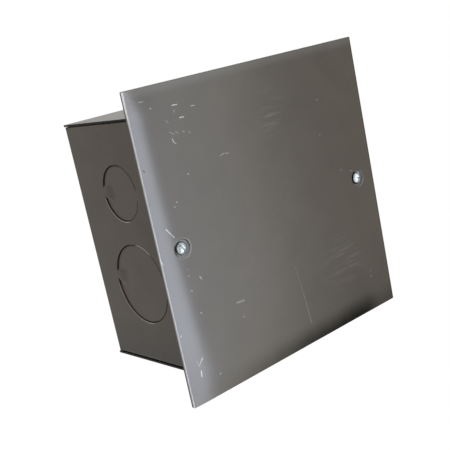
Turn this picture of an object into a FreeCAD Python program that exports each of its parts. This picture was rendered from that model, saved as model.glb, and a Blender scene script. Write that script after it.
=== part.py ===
"""Flush steel back box with an oversize screw-on cover.

The box is a folded steel wrapper (back and two sides) closed at the top and
bottom by flat end plates that lap over its inward weld flanges.  The cover
screws into two tabs folded in from the side walls, and overhangs the box all
round so that it hides the edge of the opening in the wall.

Frame: origin at the centre of the outer face of the back, +X to the right
seen from the front, +Y out of the back, +Z up.  Lengths are in millimetres.
"""
import FreeCAD, Part
import math
import os
import re

from FreeCAD import Placement, Rotation, Vector
import Sketcher

# Driving dimensions
SIZES = {
    # Box body
    "box_width": (162.0, "outer width across the side walls"),
    "box_height": (152.4, "outer height over the end plates"),
    "box_depth": (87.0, "from the outer face of the back to the rim"),
    "wrapper_sheet": (1.5, "thickness of the folded wrapper"),
    "plate_sheet": (1.2, "thickness of the end plates"),
    "bend_radius": (0.4, "inside radius of every fold"),
    "flange_width": (11.0, "weld flange, from the outer face of its wall"),
    "corner_relief": (3.2, "notch in the weld flanges at each back corner"),
    "corner_slit": (0.4, "gap round the post left standing in that notch"),
    "mitre_gap": (0.6, "slot between the side and back weld flanges"),
    # Tabs that take the cover screws
    "screw_inset": (4.8, "cover screw, from the outer face of the side wall"),
    "tab_width": (17.0, "height of a screw tab along the wall"),
    "tab_length": (14.0, "reach of a screw tab from the outer face of the wall"),
    "tab_corner": (3.0, "radius of the two free corners of a tab"),
    "tab_relief": (1.5, "slot in the wall above and below a tab"),
    "relief_run_out": (1.0, "how far a slot runs past the bend of its tab"),
    "collar_diameter": (5.6, "outside of the extruded collar behind a tab"),
    "collar_height": (1.6, "height of that collar behind the tab"),
    # Cover
    "side_overhang": (11.0, "cover beyond each side wall"),
    "end_overhang": (15.8, "cover beyond each end plate"),
    "cover_sheet": (1.9, "thickness of the cover"),
    "cover_corner": (0.8, "radius of the four corners of the cover"),
    "cover_arris": (0.35, "rolled edge left on the front by shearing"),
    "dimple_diameter": (11.2, "mouth of the dimple round a cover screw"),
    "dimple_floor": (8.8, "flat seat at the bottom of a dimple"),
    "dimple_depth": (1.3, "depth of a dimple below the cover"),
    "dimple_lip": (0.6, "radius pressed into the mouth of a dimple"),
    "dimple_wall": (1.35, "sheet measured across the slope of a dimple"),
    # Cover screws
    "screw_diameter": (3.5, "outside of the screw thread"),
    "screw_length": (12.7, "length under the head"),
    "screw_point": (0.7, "chamfer at the end of a screw"),
    "head_diameter": (7.0, "diameter of a screw head"),
    "head_side": (0.8, "straight side of a screw head"),
    "head_height": (2.3, "full height of a screw head"),
    "slot_width": (1.1, "width of the driver slot"),
    "slot_depth": (1.2, "depth of the driver slot below the crown"),
    "thread_clearance": (0.1, "on the diameter of a tapped hole"),
    "cover_clearance": (0.6, "on the diameter of the screw holes in the cover"),
    # Knockouts, one small and one large in each side and end
    "small_knockout": (34.6, "hole left by the one inch knockout"),
    "large_knockout": (49.9, "hole left by the one and a half inch knockout"),
    "small_offset": (32.8, "small knockout, from the middle of its wall"),
    "large_offset": (23.9, "large knockout, from the middle, other way"),
    "knockout_setback": (45.8, "knockout centres, from the back"),
    "knockout_kerf": (0.45, "sheared gap round a knockout"),
    "knockout_inset": (0.7, "how far a knockout slug is pushed in"),
    "tie_land": (1.8, "slug left level with the wall inside a tie"),
    "small_tie": (6.2, "metal tie left at each end of a small knockout"),
    "large_tie": (5.4, "metal tie left at each end of a large knockout"),
    # Fixing holes in the back
    "fixing_diameter": (6.6, "fixing hole"),
    "fixing_spacing_across": (114.3, "between fixing holes, left to right"),
    "fixing_spacing_up": (101.6, "between fixing holes, bottom to top"),
}

# Angles in degrees
SMALL_TIE_TURN = 3.0
LARGE_TIE_TURN = 10.0
LEFT_SLOT_TURN = 59.0
RIGHT_SLOT_TURN = 19.0

# Lengths that follow from the driving ones
DERIVED = {
    "side_face": "box_width / 2",
    "outer_bend": "(bend_radius + wrapper_sheet)",
    "flange_face": "(box_height / 2 - plate_sheet)",
    "wall_end": "(flange_face - outer_bend)",
    "cover_front": "(box_depth + cover_sheet)",
    "cover_side": "(side_face + side_overhang)",
    "cover_end": "(box_height / 2 + end_overhang)",
    "mitre_step": "(mitre_gap / sqrt(2))",
    "screw_place": "(side_face - screw_inset)",
    "tab_face": "(box_depth - dimple_depth)",
    "tab_back": "(tab_face - wrapper_sheet)",
    "tab_root": "(tab_face - outer_bend - relief_run_out)",
    "small_radius": "(small_knockout / 2)",
    "large_radius": "(large_knockout / 2)",
}

doc = FreeCAD.newDocument("flush_back_box")
sizes = doc.addObject("Spreadsheet::Sheet", "Sizes")
for row, (alias, (length, note)) in enumerate(SIZES.items(), start=1):
    sizes.set(f"A{row}", alias)
    sizes.set(f"B{row}", str(length))
    sizes.set(f"C{row}", note)
    sizes.setAlias(f"B{row}", alias)
doc.recompute()


def formula(text):
    """Turn plain size names into an expression on the sheet."""
    names = re.compile(r"\b(" + "|".join(DERIVED) + r")\b")
    while names.search(text):
        text = names.sub(lambda found: f"({DERIVED[found.group(1)]})", text)
    return re.sub(r"\b(" + "|".join(SIZES) + r")\b", r"Sizes.\1", text)


def value(text):
    """Give the present value of a formula, in millimetres."""
    return float(sizes.evalExpression(formula(text)))


def new_body(label):
    """Start a sub-part of its own."""
    body = doc.addObject("PartDesign::Body", label)
    body.Label = label
    return body


def origin_plane(body, role):
    """Find one of a body's own origin planes."""
    return next(item for item in body.Origin.OriginFeatures if item.Role == role)


def new_sketch(body, name, role, height="0", across="0"):
    """Lay a sketch on an origin plane, raised and shifted by formulas."""
    sketch = body.newObject("Sketcher::SketchObject", name)
    sketch.AttachmentSupport = [(origin_plane(body, role), "")]
    sketch.MapMode = "FlatFace"
    sketch.setExpression("AttachmentOffset.Base.z", formula(height))
    sketch.setExpression("AttachmentOffset.Base.x", formula(across))
    return sketch


def pin(sketch, geometry, place, across, up):
    """Hold a point at two coordinates given as formulas."""
    kinds = (("DistanceX", across), ("DistanceY", up))
    for kind, text in kinds:
        constraint = Sketcher.Constraint(kind, -1, 1, geometry, place, value(text))
        index = sketch.addConstraint(constraint)
        sketch.setExpression(f"Constraints[{index}]", formula(text))


def size_of(sketch, kind, geometry, text):
    """Give a circle or an arc its radius or diameter as a formula."""
    index = sketch.addConstraint(Sketcher.Constraint(kind, geometry, value(text)))
    sketch.setExpression(f"Constraints[{index}]", formula(text))


def circle(sketch, across, up, diameter):
    """Draw a circle."""
    centre = Vector(value(across), value(up), 0)
    round_line = Part.Circle(centre, Vector(0, 0, 1), value(diameter) / 2)
    geometry = sketch.addGeometry(round_line, False)
    pin(sketch, geometry, 3, across, up)
    size_of(sketch, "Diameter", geometry, diameter)


def minor_arc(start, end, radius, anticlockwise):
    """Draw the shorter arc between two points."""
    if not anticlockwise:
        start, end = end, start
    chord = end - start
    middle = (start + end) * 0.5
    rise = math.sqrt(max(radius ** 2 - (chord.Length / 2) ** 2, 0.0))
    normal = Vector(-chord.y, chord.x, 0).normalize()
    centre = middle + normal * rise
    angles = [math.atan2(point.y - centre.y, point.x - centre.x) for point in (start, end)]
    return Part.ArcOfCircle(Part.Circle(centre, Vector(0, 0, 1), radius), *angles)


def outline(sketch, corners):
    """Draw a closed outline.

    Each corner is (across, up) or (across, up, radius, turn): with a radius
    the stretch that follows is an arc, turning "left" or "right".
    """
    points = [Vector(value(corner[0]), value(corner[1]), 0) for corner in corners]
    stretches = []
    for index, corner in enumerate(corners):
        start = points[index]
        end = points[(index + 1) % len(points)]
        if len(corner) == 2:
            geometry = sketch.addGeometry(Part.LineSegment(start, end), False)
            stretches.append((geometry, 1, 2))
            continue
        turns_left = corner[3] == "left"
        arc = minor_arc(start, end, value(corner[2]), turns_left)
        geometry = sketch.addGeometry(arc, False)
        stretches.append((geometry, 1, 2) if turns_left else (geometry, 2, 1))
        size_of(sketch, "Radius", geometry, corner[2])
    for index, (geometry, first, last) in enumerate(stretches):
        follower, follower_first, _ = stretches[(index + 1) % len(stretches)]
        pin(sketch, geometry, first, corners[index][0], corners[index][1])
        sketch.addConstraint(
            Sketcher.Constraint("Coincident", geometry, last, follower, follower_first)
        )


def extrude(body, kind, name, sketch, length, reverse=False, both_ways=False):
    """Pad or pocket a sketch by a formula."""
    feature = body.newObject(f"PartDesign::{kind}", name)
    feature.Profile = sketch
    feature.setExpression("Length", formula(length))
    feature.Reversed = reverse
    if both_ways:
        feature.SideType = "Symmetric"
    doc.recompute()
    return feature


def turn(body, kind, name, sketch):
    """Revolve a sketch a full turn about its own vertical axis."""
    feature = body.newObject(f"PartDesign::{kind}", name)
    feature.Profile = sketch
    feature.ReferenceAxis = (sketch, ["V_Axis"])
    feature.Angle = 360
    doc.recompute()
    return feature


def mirror(body, name, originals):
    """Repeat features on the left side of the middle plane."""
    feature = body.newObject("PartDesign::Mirrored", name)
    feature.Originals = originals
    feature.MirrorPlane = (origin_plane(body, "YZ_Plane"), [""])
    body.Tip = feature
    doc.recompute()
    return feature


def round_edges(body, name, radius, belongs):
    """Round the edges of the tip that a test picks out."""
    base = body.Tip
    names = [
        f"Edge{number}"
        for number, edge in enumerate(base.Shape.Edges, start=1)
        if belongs(edge)
    ]
    feature = body.newObject("PartDesign::Fillet", name)
    feature.Base = (base, names)
    feature.setExpression("Radius", formula(radius))
    doc.recompute()
    return feature


def near(first, second):
    """Compare two lengths."""
    return abs(first - second) < 0.001


def signed(sign, text):
    """Put a sign before a formula."""
    return f"({text})" if sign > 0 else f"-({text})"


def fold_outline(sketch, side, end, edge_face, wall_face, wall_start, reach):
    """Draw the section of a flange folded in from a wall.

    The wall stands on wall_face and the flange lies on edge_face.  Side and
    end are the signs of those two coordinates, and the section starts on the
    wall at wall_start and reaches to the coordinate given as reach.
    """
    bend_across = signed(side, f"{wall_face} - outer_bend")
    wall_inside = signed(side, f"{wall_face} - wrapper_sheet")
    bend_up = signed(end, f"{edge_face} - outer_bend")
    flange_inside = signed(end, f"{edge_face} - wrapper_sheet")
    outer_turn = "left" if side * end > 0 else "right"
    inner_turn = "right" if side * end > 0 else "left"
    corners = [
        (signed(side, wall_face), bend_up, "outer_bend", outer_turn),
        (bend_across, signed(end, edge_face)),
        (signed(side, reach), signed(end, edge_face)),
        (signed(side, reach), flange_inside),
        (bend_across, flange_inside, "bend_radius", inner_turn),
        (wall_inside, bend_up),
    ]
    if wall_start is not None:
        corners.append((wall_inside, signed(end, wall_start)))
        corners.append((signed(side, wall_face), signed(end, wall_start)))
    outline(sketch, corners)


def polar(across, up, radius, angle):
    """Give the coordinates of a point on a circle as formulas."""
    return f"{across} + {radius} * cos({angle})", f"{up} + {radius} * sin({angle})"


def kerf_outline(sketch, across, up, radius, start, end):
    """Draw one of the two sheared slots round a knockout slug."""
    inner = f"({radius} - knockout_kerf)"
    outline(sketch, [
        (*polar(across, up, radius, start), radius, "left"),
        polar(across, up, radius, end),
        (*polar(across, up, inner, end), inner, "right"),
        polar(across, up, inner, start),
    ])


def slug_outline(sketch, across, up, radius, lean, half_tie):
    """Draw the pushed-in part of a slug, which leaves a land inside each tie."""
    edge = f"({radius} - knockout_kerf)"
    land = f"({radius} - knockout_kerf - tie_land)"
    corners = []
    for facing in (0, 180):
        start = f"{lean + facing}deg + {half_tie}"
        end = f"{lean + facing + 180}deg - {half_tie}"
        corners += [
            polar(across, up, land, start),
            (*polar(across, up, edge, start), edge, "left"),
            polar(across, up, edge, end),
            polar(across, up, land, end),
        ]
    outline(sketch, corners)


def knockouts(body, back_axis, wall_role, outer, inner, slots_length, both_ways):
    """Shear a small and a large knockout into a wall and push them in.

    The two slots round each slug stop at a pair of ties, which hold it.
    """
    places = (
        ("small_offset", "small_radius", "small_tie", SMALL_TIE_TURN),
        ("-(large_offset)", "large_radius", "large_tie", LARGE_TIE_TURN),
    )
    kerfs = new_sketch(body, "KnockoutSlots", wall_role, "0" if both_ways else outer)
    front = new_sketch(body, "KnockoutFaces", wall_role, outer)
    back = new_sketch(body, "KnockoutBacks", wall_role, inner)
    for offset, radius, tie, tie_turn in places:
        if back_axis == "across":
            across, up, lean = "-(knockout_setback)", offset, tie_turn
        else:
            across, up, lean = offset, "-(knockout_setback)", 90 - tie_turn
        half_tie = f"asin({tie} / 2 / {radius})"
        for facing in (0, 180):
            start = f"{lean + facing}deg + {half_tie}"
            end = f"{lean + facing + 180}deg - {half_tie}"
            kerf_outline(kerfs, across, up, radius, start, end)
        for sketch in (front, back):
            slug_outline(sketch, across, up, radius, lean, half_tie)
    extrude(body, "Pocket", "Slots", kerfs, slots_length, both_ways=both_ways)
    sunk = extrude(body, "Pocket", "SlugFaces", front, "knockout_inset")
    raised = extrude(body, "Pad", "SlugBacks", back, "knockout_inset", reverse=True)
    return [sunk, raised]


def make_wrapper():
    """Fold the back, the side walls, the weld flanges and the screw tabs."""
    body = new_body("box_wrapper")

    walls = new_sketch(body, "WallPlan", "XY_Plane")
    outline(walls, [
        ("-(side_face)", "-(box_depth)"),
        ("-(side_face)", "-(outer_bend)", "outer_bend", "right"),
        ("-(side_face) + outer_bend", "0"),
        ("side_face - outer_bend", "0", "outer_bend", "right"),
        ("side_face", "-(outer_bend)"),
        ("side_face", "-(box_depth)"),
        ("side_face - wrapper_sheet", "-(box_depth)"),
        ("side_face - wrapper_sheet", "-(outer_bend)", "bend_radius", "left"),
        ("side_face - outer_bend", "-(wrapper_sheet)"),
        ("-(side_face) + outer_bend", "-(wrapper_sheet)", "bend_radius", "left"),
        ("-(side_face) + wrapper_sheet", "-(outer_bend)"),
        ("-(side_face) + wrapper_sheet", "-(box_depth)"),
    ])
    extrude(body, "Pad", "Walls", walls, "2 * wall_end", both_ways=True)

    # Weld flanges along the top and bottom of the side walls, then the back
    sides = new_sketch(body, "SideFlangeSection", "XZ_Plane", "corner_relief")
    for side in (-1, 1):
        for end in (-1, 1):
            fold_outline(sides, side, end, "flange_face", "side_face", None,
                         "side_face - flange_width")
    extrude(body, "Pad", "SideFlanges", sides, "box_depth - corner_relief")
    backs = new_sketch(body, "BackFlangeSection", "YZ_Plane")
    for end in (-1, 1):
        outer_turn = "left" if end > 0 else "right"
        inner_turn = "right" if end > 0 else "left"
        outline(backs, [
            ("0", signed(end, "wall_end"), "outer_bend", outer_turn),
            ("-(outer_bend)", signed(end, "flange_face")),
            ("-(flange_width)", signed(end, "flange_face")),
            ("-(flange_width)", signed(end, "flange_face - wrapper_sheet")),
            ("-(outer_bend)", signed(end, "flange_face - wrapper_sheet"), "bend_radius", inner_turn),
            ("-(wrapper_sheet)", signed(end, "wall_end")),
        ])
    extrude(body, "Pad", "BackFlanges", backs, "2 * (side_face - corner_relief)", both_ways=True)

    # Posts that carry the two upright folds on past the walls
    posts = new_sketch(body, "PostPlan", "XY_Plane")
    post_end = "corner_relief - corner_slit"
    for side in (-1, 1):
        outer_turn = "left" if side > 0 else "right"
        inner_turn = "right" if side > 0 else "left"
        outline(posts, [
            (signed(side, "side_face"), f"-({post_end})"),
            (signed(side, "side_face"), "-(outer_bend)", "outer_bend", outer_turn),
            (signed(side, "side_face - outer_bend"), "0"),
            (signed(side, f"side_face - ({post_end})"), "0"),
            (signed(side, f"side_face - ({post_end})"), "-(wrapper_sheet)"),
            (signed(side, "side_face - outer_bend"), "-(wrapper_sheet)", "bend_radius", inner_turn),
            (signed(side, "side_face - wrapper_sheet"), "-(outer_bend)"),
            (signed(side, "side_face - wrapper_sheet"), f"-({post_end})"),
        ])
    extrude(body, "Pad", "Posts", posts, "2 * (flange_face - corner_slit)", both_ways=True)

    # Mitre slots where the side and back flanges would meet
    mitres = new_sketch(body, "MitrePlan", "XY_Plane")
    for side in (-1, 1):
        outline(mitres, [
            (signed(side, "side_face - corner_relief + mitre_step"), "-(corner_relief)"),
            (signed(side, "side_face - corner_relief"), "-(corner_relief) + mitre_step"),
            (signed(side, "side_face - flange_width - mitre_step"), "-(flange_width)"),
            (signed(side, "side_face - flange_width"), "-(flange_width + mitre_step)"),
        ])
    extrude(body, "Pocket", "Mitres", mitres, "box_height", both_ways=True)

    # Tabs for the cover screws, folded in from a notch in each side wall
    notch = new_sketch(body, "TabNotch", "YZ_Plane")
    outline(notch, [
        ("-(cover_front)", "-(tab_width / 2 + tab_relief)"),
        ("-(tab_root)", "-(tab_width / 2 + tab_relief)"),
        ("-(tab_root)", "tab_width / 2 + tab_relief"),
        ("-(cover_front)", "tab_width / 2 + tab_relief"),
    ])
    extrude(body, "Pocket", "Notches", notch, "2 * box_width", both_ways=True)
    tabs = new_sketch(body, "TabSection", "XY_Plane")
    for side in (-1, 1):
        fold_outline(tabs, side, -1, "tab_face", "side_face", "tab_root",
                     "side_face - tab_length")
    extrude(body, "Pad", "Tabs", tabs, "tab_width", both_ways=True)
    tab_end = value("side_face - tab_length")
    round_edges(body, "TabCorners", "tab_corner", lambda edge: (
        near(edge.Length, value("wrapper_sheet"))
        and near(abs(edge.CenterOfMass.x), tab_end)
        and near(abs(edge.CenterOfMass.z), value("tab_width / 2"))
    ))
    collars = new_sketch(body, "CollarPlan", "XZ_Plane", "tab_back")
    bores = new_sketch(body, "TappedHolePlan", "XZ_Plane", "tab_face")
    for across in ("-(screw_place)", "screw_place"):
        circle(collars, across, "0", "collar_diameter")
        circle(bores, across, "0", "screw_diameter + thread_clearance")
    extrude(body, "Pad", "Collars", collars, "collar_height", reverse=True)
    extrude(body, "Pocket", "TappedHoles", bores, "wrapper_sheet + collar_height")

    # Fixing holes in the back
    fixings = new_sketch(body, "FixingPlan", "XZ_Plane")
    for across in ("-(fixing_spacing_across) / 2", "fixing_spacing_across / 2"):
        for up in ("-(fixing_spacing_up) / 2", "fixing_spacing_up / 2"):
            circle(fixings, across, up, "fixing_diameter")
    extrude(body, "Pocket", "FixingHoles", fixings, "2 * wrapper_sheet", both_ways=True)

    pushed = knockouts(
        body, "across", "YZ_Plane", "side_face", "side_face - wrapper_sheet",
        slots_length="2 * box_width", both_ways=True,
    )
    mirror(body, "LeftSlugs", pushed)
    return body


def make_end_plate(label, upside_down):
    """Cut the flat plate that laps over the flanges at one end."""
    body = new_body(label)
    plan = new_sketch(body, "PlatePlan", "XY_Plane", "flange_face")
    outline(plan, [
        ("-(side_face)", "-(box_depth)"),
        ("side_face", "-(box_depth)"),
        ("side_face", "0"),
        ("-(side_face)", "0"),
    ])
    extrude(body, "Pad", "Plate", plan, "plate_sheet")
    knockouts(
        body, "up", "XY_Plane", "box_height / 2", "flange_face",
        slots_length="2 * plate_sheet", both_ways=False,
    )
    if upside_down:
        body.Placement = Placement(Vector(0, 0, 0), Rotation(Vector(0, 1, 0), 180))
    return body


def make_cover():
    """Shear the flat cover and press a dimple round each screw hole."""
    body = new_body("cover_plate")
    plan = new_sketch(body, "CoverPlan", "XZ_Plane", "box_depth")
    outline(plan, [
        ("-(cover_side)", "-(cover_end)"),
        ("cover_side", "-(cover_end)"),
        ("cover_side", "cover_end"),
        ("-(cover_side)", "cover_end"),
    ])
    extrude(body, "Pad", "Sheet", plan, "cover_sheet")
    round_edges(body, "Corners", "cover_corner", lambda edge: (
        near(edge.Length, value("cover_sheet"))
    ))
    front = -value("cover_front")
    round_edges(body, "Arris", "cover_arris", lambda edge: (
        near(edge.BoundBox.YMin, front) and near(edge.BoundBox.YMax, front)
    ))

    # The back of a dimple stands out behind the sheet and seats on its tab
    boss = new_sketch(body, "DimpleBack", "XY_Plane", across="screw_place")
    outline(boss, [
        ("0", "-(box_depth)"),
        ("dimple_diameter / 2 + dimple_wall", "-(box_depth)"),
        ("dimple_floor / 2 + dimple_wall", "-(tab_face)"),
        ("0", "-(tab_face)"),
    ])
    pressed_out = turn(body, "Revolution", "DimpleBacks", boss)
    hole = "(screw_diameter + cover_clearance) / 2"
    hollow = new_sketch(body, "DimpleFront", "XY_Plane", across="screw_place")
    outline(hollow, [
        ("0", "-(cover_front)"),
        ("dimple_diameter / 2", "-(cover_front)"),
        ("dimple_floor / 2", "-(cover_front - dimple_depth)"),
        (hole, "-(cover_front - dimple_depth)"),
        (hole, "-(tab_face)"),
        ("0", "-(tab_face)"),
    ])
    pressed_in = turn(body, "Groove", "DimpleFronts", hollow)
    mirror(body, "LeftDimple", [pressed_out, pressed_in])
    round_edges(body, "DimpleLips", "dimple_lip", lambda edge: (
        edge.Curve.TypeId == "Part::GeomCircle"
        and near(edge.Curve.Radius, value("dimple_diameter / 2"))
        and near(edge.BoundBox.YMax, front)
    ))
    return body


def make_screw(label, side, slot_turn):
    """Turn a slotted cover screw and seat it in its dimple."""
    body = new_body(label)
    section = new_sketch(body, "ScrewSection", "XY_Plane")
    dome = "(head_height - head_side)"
    dome_radius = f"((head_diameter / 2) ^ 2 + {dome} ^ 2) / (2 * {dome})"
    outline(section, [
        ("0", "-(head_height)"),
        ("0", "screw_length"),
        ("screw_diameter / 2 - screw_point", "screw_length"),
        ("screw_diameter / 2", "screw_length - screw_point"),
        ("screw_diameter / 2", "0"),
        ("head_diameter / 2", "0"),
        ("head_diameter / 2", "-(head_side)", dome_radius, "right"),
    ])
    turn(body, "Revolution", "Blank", section)
    slot = new_sketch(body, "SlotPlan", "XZ_Plane", "head_height - slot_depth")
    outline(slot, [
        ("-(head_diameter)", "-(slot_width) / 2"),
        ("head_diameter", "-(slot_width) / 2"),
        ("head_diameter", "slot_width / 2"),
        ("-(head_diameter)", "slot_width / 2"),
    ])
    extrude(body, "Pocket", "Slot", slot, "2 * slot_depth", reverse=True)
    body.Placement = Placement(Vector(0, 0, 0), Rotation(Vector(0, 1, 0), slot_turn))
    body.setExpression("Placement.Base.x", formula(signed(side, "screw_place")))
    body.setExpression("Placement.Base.y", formula("-(cover_front - dimple_depth)"))
    return body


def check(parts):
    """Stop if any feature failed or any sub-part isn't one valid solid."""
    for item in doc.Objects:
        if "Invalid" in item.State or "Error" in item.State:
            raise RuntimeError(f"{item.Label} failed: {item.State}")
    for part in parts:
        if part.Shape.isNull() or not part.Shape.isValid():
            raise RuntimeError(f"{part.Label} has no valid shape")
        if len(part.Shape.Solids) != 1:
            raise RuntimeError(f"{part.Label} has {len(part.Shape.Solids)} solids")


parts = [
    make_wrapper(),
    make_end_plate("top_end_plate", upside_down=False),
    make_end_plate("bottom_end_plate", upside_down=True),
    make_cover(),
    make_screw("cover_screw_left", -1, LEFT_SLOT_TURN),
    make_screw("cover_screw_right", 1, RIGHT_SLOT_TURN),
]
doc.recompute()
check(parts)
os.makedirs("parts", exist_ok=True)
for part in parts:
    part.Shape.exportStep(f"parts/{part.Label}.step")
    box = part.Shape.BoundBox
    print(f"{part.Label}: {part.Shape.Volume / 1000:.2f} cm3, "
          f"x {box.XMin:.2f} to {box.XMax:.2f}, "
          f"y {box.YMin:.2f} to {box.YMax:.2f}, "
          f"z {box.ZMin:.2f} to {box.ZMax:.2f}")
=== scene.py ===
"""Looks of a flush steel back box with an oversize screw-on cover.

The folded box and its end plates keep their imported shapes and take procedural
finishes here. The cover gets the margin that its shearing bent back, the cover
screws get their threads, and the sheared knockouts get their bent slugs and the
lips that the press rolls up round them.
Lengths are in metres unless a name or a docstring says millimetres.
"""
import logging
import math
from collections.abc import Callable
from dataclasses import dataclass, field
from enum import Enum

import bmesh
import bpy
import numpy as np
from mathutils import Matrix, Vector


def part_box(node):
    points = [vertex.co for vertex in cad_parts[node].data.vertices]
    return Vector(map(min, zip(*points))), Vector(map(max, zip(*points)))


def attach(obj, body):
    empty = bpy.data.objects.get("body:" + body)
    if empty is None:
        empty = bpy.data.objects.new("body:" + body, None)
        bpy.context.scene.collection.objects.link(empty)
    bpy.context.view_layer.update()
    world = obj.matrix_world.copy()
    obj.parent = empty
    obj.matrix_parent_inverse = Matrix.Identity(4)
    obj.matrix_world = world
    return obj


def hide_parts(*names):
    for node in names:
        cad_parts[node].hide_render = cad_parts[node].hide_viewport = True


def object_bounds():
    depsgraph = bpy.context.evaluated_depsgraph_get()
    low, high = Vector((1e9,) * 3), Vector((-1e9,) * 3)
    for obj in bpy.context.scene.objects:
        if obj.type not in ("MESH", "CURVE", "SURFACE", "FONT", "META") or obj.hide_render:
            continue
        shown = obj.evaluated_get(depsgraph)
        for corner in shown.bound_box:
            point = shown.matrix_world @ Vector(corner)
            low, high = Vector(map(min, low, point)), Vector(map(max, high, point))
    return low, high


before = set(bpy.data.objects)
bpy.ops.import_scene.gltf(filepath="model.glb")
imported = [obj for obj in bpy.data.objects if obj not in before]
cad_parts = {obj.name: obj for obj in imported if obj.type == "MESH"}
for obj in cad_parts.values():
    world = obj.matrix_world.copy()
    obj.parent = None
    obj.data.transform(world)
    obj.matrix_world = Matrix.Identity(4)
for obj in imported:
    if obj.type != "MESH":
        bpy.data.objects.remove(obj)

CAD_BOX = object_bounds()
LOG = logging.getLogger("flush_back_box")
MM = 0.001
MERGE_MM = 0.002
SHARP_DEGREES = 40.0
PAINT_INDEX = 1.38
WATTS_PER_RADIANCE = 4.0
WHITE = (1.0, 1.0, 1.0, 1.0)
Colour = tuple[float, float, float]
Pair = tuple[float, float]


def linear(red: float, green: float, blue: float) -> tuple[float, float, float, float]:
    """Turn a colour shown as 0 to 255 on a screen into a linear one with an alpha of one."""
    shown = np.array([red, green, blue]) / 255.0
    low = shown / 12.92
    high = ((shown + 0.055) / 1.055) ** 2.4
    mixed = np.where(shown <= 0.04045, low, high)
    return (float(mixed[0]), float(mixed[1]), float(mixed[2]), 1.0)


class Signal:
    """An output socket that takes part in sums written as plain Python."""

    def __init__(self, graph: "Graph", socket: bpy.types.NodeSocket | None) -> None:
        """Keep a graph and one of its output sockets."""
        self.graph = graph
        self.socket = socket

    def math(self, operation: str, *values: "Signal | float") -> "Signal":
        """Add a Math node for an operation on some values."""
        return self.graph.node("ShaderNodeMath", {"operation": operation}, dict(enumerate(values)))

    def __add__(self, other: "Signal | float") -> "Signal":
        """Add."""
        return self.math("ADD", self, other)

    def __radd__(self, other: float) -> "Signal":
        """Add to a number."""
        return self.math("ADD", other, self)

    def __sub__(self, other: "Signal | float") -> "Signal":
        """Subtract."""
        return self.math("SUBTRACT", self, other)

    def __rsub__(self, other: float) -> "Signal":
        """Subtract from a number."""
        return self.math("SUBTRACT", other, self)

    def __mul__(self, other: "Signal | float") -> "Signal":
        """Multiply."""
        return self.math("MULTIPLY", self, other)

    def __rmul__(self, other: float) -> "Signal":
        """Multiply a number."""
        return self.math("MULTIPLY", other, self)

    def __truediv__(self, other: "Signal | float") -> "Signal":
        """Divide."""
        return self.math("DIVIDE", self, other)

    def __pow__(self, power: "Signal | float") -> "Signal":
        """Raise to a power."""
        return self.math("POWER", self, power)

    def __abs__(self) -> "Signal":
        """Drop the sign."""
        return self.math("ABSOLUTE", self)

    def at_most(self, other: "Signal | float") -> "Signal":
        """Give the lesser of two values."""
        return self.math("MINIMUM", self, other)

    def at_least(self, other: "Signal | float") -> "Signal":
        """Give the greater of two values."""
        return self.math("MAXIMUM", self, other)

    def ease(self, low: float, high: float) -> "Signal":
        """Go smoothly from nought at low to one at high.

        Args:
            low: Value at which the result is nought.
            high: Value at which the result is one; it may lie below low.

        Returns:
            The eased value, held between nought and one.
        """
        settings = {"interpolation_type": "SMOOTHSTEP"}
        if low < high:
            return self.graph.node("ShaderNodeMapRange", settings, {0: self, 1: low, 2: high})
        return 1.0 - self.graph.node("ShaderNodeMapRange", settings, {0: self, 1: high, 2: low})


class Graph:
    """The nodes of one material or of the world."""

    def __init__(self, tree: bpy.types.NodeTree) -> None:
        """Start from an empty tree."""
        self.tree = tree
        tree.nodes.clear()

    def node(
        self,
        kind: str,
        settings: dict[str, object] | None = None,
        values: dict[int | str, object] | None = None,
        output: int | str = 0,
    ) -> Signal:
        """Make a node, set it up and join its sockets.

        Args:
            kind: Blender's name for the type of node.
            settings: Properties of the node.
            values: Numbers, colours or signals for its input sockets.
            output: The output socket that is wanted.

        Returns:
            The chosen output as a signal.
        """
        made = self.tree.nodes.new(kind)
        for name, setting in (settings or {}).items():
            setattr(made, name, setting)
        for key, value in (values or {}).items():
            if isinstance(value, Signal):
                self.tree.links.new(value.socket, made.inputs[key])
            else:
                made.inputs[key].default_value = value
        return Signal(self, made.outputs[output] if made.outputs else None)

    def blend(self, factor: Signal | float, first: object, second: object) -> Signal:
        """Mix two colours by a factor."""
        return self.node(
            "ShaderNodeMix",
            {"data_type": "RGBA", "clamp_factor": True},
            {0: factor, 6: first, 7: second},
            output=2,
        )

    def layers(self, colour: Signal, *layers: tuple[Signal, Colour]) -> Signal:
        """Lay colours over one another by their masks, the last on top."""
        for mask, laid in layers:
            colour = self.blend(mask, colour, linear(*laid))
        return colour

    def noise(self, place: Signal, scale: float, detail: float = 2.0) -> Signal:
        """Give noise between about 0.25 and 0.75 at a scale per unit of place."""
        values = {"Vector": place, "Scale": scale, "Detail": detail}
        return self.node("ShaderNodeTexNoise", {}, values)

    def vector(self, operation: str, *values: object, output: int = 0) -> Signal:
        """Add a Vector Math node."""
        settings = {"operation": operation}
        return self.node("ShaderNodeVectorMath", settings, dict(enumerate(values)), output)

    def scaled(self, vector: object, scale: Signal | float) -> Signal:
        """Give a vector times a number."""
        values = {"Vector": vector, "Scale": scale}
        return self.node("ShaderNodeVectorMath", {"operation": "SCALE"}, values)


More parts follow.
